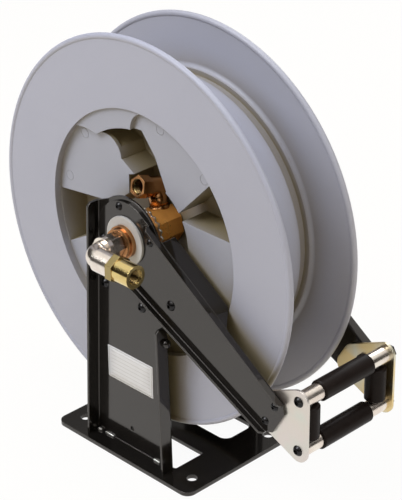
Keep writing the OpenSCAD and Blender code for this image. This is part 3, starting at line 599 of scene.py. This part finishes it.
def outlet_sleeve(name, middle, way, start, end, radius):
    """A collar round the outlet's leg: a circle carried outwards, its radius in steps.

    Rows give the share of the way along the leg and the share of the radius: a flare at the
    hub, a groove, the plain collar and its rounded end.
    """
    circle = ring_about(way, (0.0, 1.0, 0.0), 48)
    share = np.array([0.0, 0.14, 0.16, 0.24, 0.26, 0.9, 0.97, 1.0])[:, None, None]
    reach = np.array([1.08, 1.08, 0.95, 0.95, 1.0, 1.0, 0.97, 0.9])[:, None, None] * radius
    points = middle + (start + share * (end - start)) * way + reach * circle
    return surface(name, points, around=True, caps=True)


def thread_ridge(name, mouth, axis, radius, depth, pitch, length):
    """An inside thread: a blunt triangle carried along a helix, from the mouth inwards.

    Its crest stands depth inside the bore's radius and dies away over the first and last turn.
    """
    axis = unit(axis)
    side = unit(np.cross(axis, (0.0, 0.0, 1.0)))
    up = np.cross(axis, side)
    turns = length / pitch
    share = np.linspace(0, 1, int(36 * turns))
    angle = 2 * np.pi * turns * share[:, None]
    fade = np.clip(np.minimum(share, 1 - share) * turns, 0.02, 1.0)
    run = pitch * (turns * share + 0.5)
    radial = np.cos(angle) * side + np.sin(angle) * up
    profile = np.array([(0.15, -0.45), (-1.0, -0.08), (-1.0, 0.08), (0.15, 0.45)])
    reach = radius + depth * fade[:, None] * profile[:, 0]
    back = run[:, None] + pitch * fade[:, None] * profile[:, 1]
    points = np.array(mouth) + reach[..., None] * radial[:, None] - back[..., None] * axis
    return surface(name, points, around=True, caps=True)


# Studio

FLOOR_HALF = 12.0
FLOOR_DROP = 0.5 * MM
FLOOR_WARM = (0.78, 0.71, 0.57, 1.0)
FLOOR_WHITE_SHARE = 0.95
SKY_WARM = (1.0, 0.86, 0.62, 1.0)
SKY_STRENGTH = 0.45
WHITE = (1.0, 1.0, 1.0, 1.0)
ROOM = [
    (0.0, (0.9, 0.9, 0.9)), (0.5, (0.7, 0.69, 0.66)), (0.53, (0.035, 0.03, 0.026)),
    (0.75, (0.04, 0.036, 0.033)), (0.84, (0.95, 0.94, 0.92)), (1.0, (1.0, 1.0, 1.0))]
LAMP_COLOUR = (0.94, 0.968, 1.0)
LAMP_AIM = np.array([0.0, 0.0, 0.26])
LAMPS = (
    # name, place, size in metres, power in watts
    ("key_lamp", (-0.9, -1.9, 2.4), 1.5, 64.0),
    ("side_lamp", (2.5, 0.55, 1.6), 0.9, 20.0),
    ("top_lamp", (0.1, -0.15, 2.6), 1.6, 26.0),
    ("back_lamp", (-0.8, 2.4, 1.7), 1.6, 26.0),
)


def set_up(name, data, right, up, back, place):
    """A camera or lamp in the scene, from its three axes and its place."""
    holder = bpy.data.objects.new(name, data)
    rows = [(right[i], up[i], back[i], place[i]) for i in range(3)]
    holder.matrix_world = Matrix(rows + [(0, 0, 0, 1)])
    bpy.context.scene.collection.objects.link(holder)
    return holder


def make_camera():
    """A long lens at the photograph's angle, for an image of 402 x 500.

    It looks down about 27 degrees at the drum's open face.
    """
    lens = bpy.data.cameras.new("front_camera")
    lens.lens = 129.28
    lens.sensor_width = 36.0
    lens.clip_end = 60.0
    right = (0.701559, 0.712563, -0.008933)
    up = (-0.321321, 0.327499, 0.888553)
    back = (0.636075, -0.620502, 0.458717)
    place = at_hub(1383.55, -1249.6, 940.6)
    bpy.context.scene.camera = set_up("front_camera", lens, right, up, back, place)


def make_floor():
    """A wide flat grid just under the base: white where seen, warm paper to the light."""
    step = np.linspace(-FLOOR_HALF, FLOOR_HALF, 5)
    x, y = np.meshgrid(step, step, indexing="ij")
    floor = surface("studio_floor", np.stack([x, y, np.full_like(x, -FLOOR_DROP)], -1))
    material = bpy.data.materials.new("floor_paper")
    material.use_nodes = True
    g = Graph(material.node_tree)
    path = g.node("ShaderNodeLightPath", out="Is Camera Ray")
    kinds = path.socket.node.outputs
    seen = path.most(Wire(g, kinds["Is Glossy Ray"])).most(Wire(g, kinds["Is Transmission Ray"]))
    paper = g.node("ShaderNodeBsdfDiffuse", inputs={"Color": FLOOR_WARM})
    white = g.node("ShaderNodeEmission", inputs={"Color": WHITE, "Strength": 1.0})
    mixed = g.node("ShaderNodeMixShader", inputs={
        0: seen * FLOOR_WHITE_SHARE, 1: paper, 2: white})
    g.node("ShaderNodeOutputMaterial", inputs={"Surface": mixed})
    floor.data.materials.append(material)


def make_world():
    """Even warm light on matt surfaces; for reflections, a pale room with a darker band."""
    world = bpy.data.worlds.new("studio")
    bpy.context.scene.world = world
    world.use_nodes = True
    g = Graph(world.node_tree)
    _, _, height = g.axes(g.node("ShaderNodeTexCoord", out="Generated"))
    room = g.ramp(height * 0.5 + 0.5, ROOM)
    path = g.node("ShaderNodeLightPath", out="Is Glossy Ray")
    even = g.node("ShaderNodeBackground", inputs={"Color": SKY_WARM, "Strength": SKY_STRENGTH})
    shown = g.node("ShaderNodeBackground", inputs={"Color": room, "Strength": 1.0})
    mixed = g.node("ShaderNodeMixShader", inputs={0: path, 1: even, 2: shown})
    g.node("ShaderNodeOutputWorld", inputs={"Surface": mixed})


def make_lamp(name, place, size, power):
    """A square soft lamp that faces the reel's middle."""
    lamp = bpy.data.lights.new(name, "AREA")
    lamp.size = size
    lamp.energy = power
    lamp.color = LAMP_COLOUR
    back = unit(place - LAMP_AIM)
    right = unit(np.cross((0.0, 0.0, 1.0), back))
    set_up(name, lamp, right, np.cross(back, right), back, place)


make_camera()
bpy.context.scene.view_settings.view_transform = "Standard"
make_floor()
make_world()
for lamp in LAMPS:
    make_lamp(*lamp)

# Finishes of the CAD nodes

PAINT = finish("black_paint", black_paint)
ZINC = finish("zinc_plate", zinc_plate)
OCHRE = finish("zinc_with_painted_reflection", zinc_with_painted_reflection)
NICKEL = finish("polished_nickel", polished_nickel)
BRASS = finish("machined_brass", machined_brass)
BRONZE = finish("hub_bronze", hub_bronze)
COPPER = finish("brown_copper", brown_copper)
DRUM = finish("drum_plastic", drum_plastic)
ROLLER = finish("roller_plastic", roller_plastic)
NYLON = finish("bearing_nylon", bearing_nylon)
OXIDE = finish("black_oxide", black_oxide)
STEEL = finish("bright_steel", bright_steel)
RUBBER = finish("seal_rubber", seal_rubber)
LABEL = finish("label_film", plain_label)

WEARS = [
    (PAINT, "base_plate near_upright far_upright near_arm far_arm arm_stiffener"),
    (ZINC, "near_mouth_plate"),
    (OCHRE, "far_mouth_plate"),
    (NICKEL, "mouth_spacers inlet_elbow"),
    (BRASS, "inlet_coupling"),
    (BRONZE, "hub_shaft"),
    (COPPER, "outlet_elbow outlet_nipple gland_nut"),
    (DRUM, "near_drum_half far_drum_half spring_cover"),
    (ROLLER, "upper_roller lower_roller near_side_roller far_side_roller"),
    (NYLON, "front_bush rear_bush"),
    (OXIDE, "roller_axles axle_nuts hub_screws index_screws arm_end_bolts arm_end_nuts"),
    (STEEL, "side_roller_pins spring_arbor arbor_nut pawl_pin drum_screws hub_bolts"),
    (STEEL, "shaft_collar spring_case cover_screws power_spring ratchet_wheel"),
    (STEEL, "ratchet_screws pawl pawl_spring"),
    (RUBBER, "swivel_seals"),
]
for material, names in WEARS:
    for node in names.split():
        NODES[node].data.materials.clear()
        NODES[node].data.materials.append(material)

# New pieces

label = label_sheet(
    "rating_label", LABEL_MID, LABEL_SIZE, LABEL_PLACE[1], thickness=0.3 * MM, corner=1.2 * MM)
put_on(label, "stand", LABEL)

PAD_DEPTH = 11
EJECTOR_SPOTS = ((-102.4, 93.8), (-133.6, 29.1), (27.4, 137.0), (97.2, 98.0))
for count, (x, z) in enumerate(EJECTOR_SPOTS, 1):
    spot = at_hub(x, PAD_DEPTH, z)
    ring = ejector_ring(f"ejector_ring_{count}", spot, 6 * MM, width=0.9 * MM, height=0.3 * MM)
    put_on(ring, "drum", DRUM)

THREADS = (
    # name, mount, body, length in millimetres
    ("inlet_thread", "inlet", "inlet_swivel", 17),
    ("outlet_thread", "hose_outlet", "drum", 12),
)
for name, mount, body, length in THREADS:
    ridge = thread_ridge(
        name, MOUNTS[mount]["pos_m"], MOUNTS[mount]["axis"],
        radius=9.3 * MM, depth=1.0 * MM, pitch=1.81 * MM, length=length * MM)
    put_on(ridge, body, BRASS)

washer = toothed_ring(
    "hub_washer", at_hub(0, 6.6, 0), inner=22 * MM, outer=31 * MM,
    tooth=2.8 * MM, teeth=22, thickness=2.4 * MM)
put_on(washer, "drum", ZINC)

OUTLET_TURN = np.radians(102)
outlet_way = np.array([np.cos(OUTLET_TURN), 0, np.sin(OUTLET_TURN)])
sleeve = outlet_sleeve(
    "outlet_sleeve", at_hub(0, 37.5, 0), outlet_way,
    start=21 * MM, end=38 * MM, radius=11.6 * MM)
put_on(sleeve, "drum", COPPER)

# The plug's foot is found on the upright's front flange, from a point well in front of it.
plug_foot = face_at("near_upright", (200 * MM, -74.5 * MM, 181 * MM), (-1, 0, 0))
plug = dome("flange_plug", plug_foot, (1, 0, 0), radius=5.8 * MM, height=6.5 * MM)
put_on(plug, "stand", PAINT)

# A matt black dome sits deep in a small hole in the upright's web, a dark piece put where the
# hole shows only shade; the web's face is found beside the hole.
beside = np.array([6 * MM, 0, 0])
web_spot = at_hub(-3, -60, 0)
web_spot[2] = BASE_TOP + 27 * MM
web_point = face_at("near_upright", web_spot + beside, (0, 1, 0)) - beside
# Set into the hole so the dome lies in shade and reads dark: painted shade.
hole_shade_foot = web_point + (0, 1.9 * MM, 0)
hole_shade_dome = dome("web_hole_shade_dome", hole_shade_foot, (0, -1, 0), radius=3.2 * MM, height=0.7 * MM)
put_on(hole_shade_dome, "stand", RUBBER)

WELDS = (
    # start and end as x and distance from the web's face, and radius, in millimetres
    ((-52, -1), (-36, -1), 2.0),
    ((35, -1), (47, -1), 2.0),
    ((-64, -2), (-57, -1.5), 2.6),
)


def on_base(x, out, rise):
    """A place given in millimetres: along the web, out from its face, and up from the base."""
    return np.array([x * MM, web_point[1] + out * MM, BASE_TOP + rise * MM])


# The short beads are bare bright steel as a painted highlight: they stand in for glints on the
# black-painted welds; the long seam keeps the black paint.
for count, (start, end, radius) in enumerate(WELDS, 1):
    bead = weld_bead(
        f"weld_bead_{count}", on_base(*start, 0.8), on_base(*end, 0.8), radius * MM, ripples=5)
    put_on(bead, "stand", STEEL)
seam = weld_bead("weld_seam", on_base(-60, 0, 0), on_base(60, 0, 0), 1.3 * MM, ripples=40)
put_on(seam, "stand", PAINT)
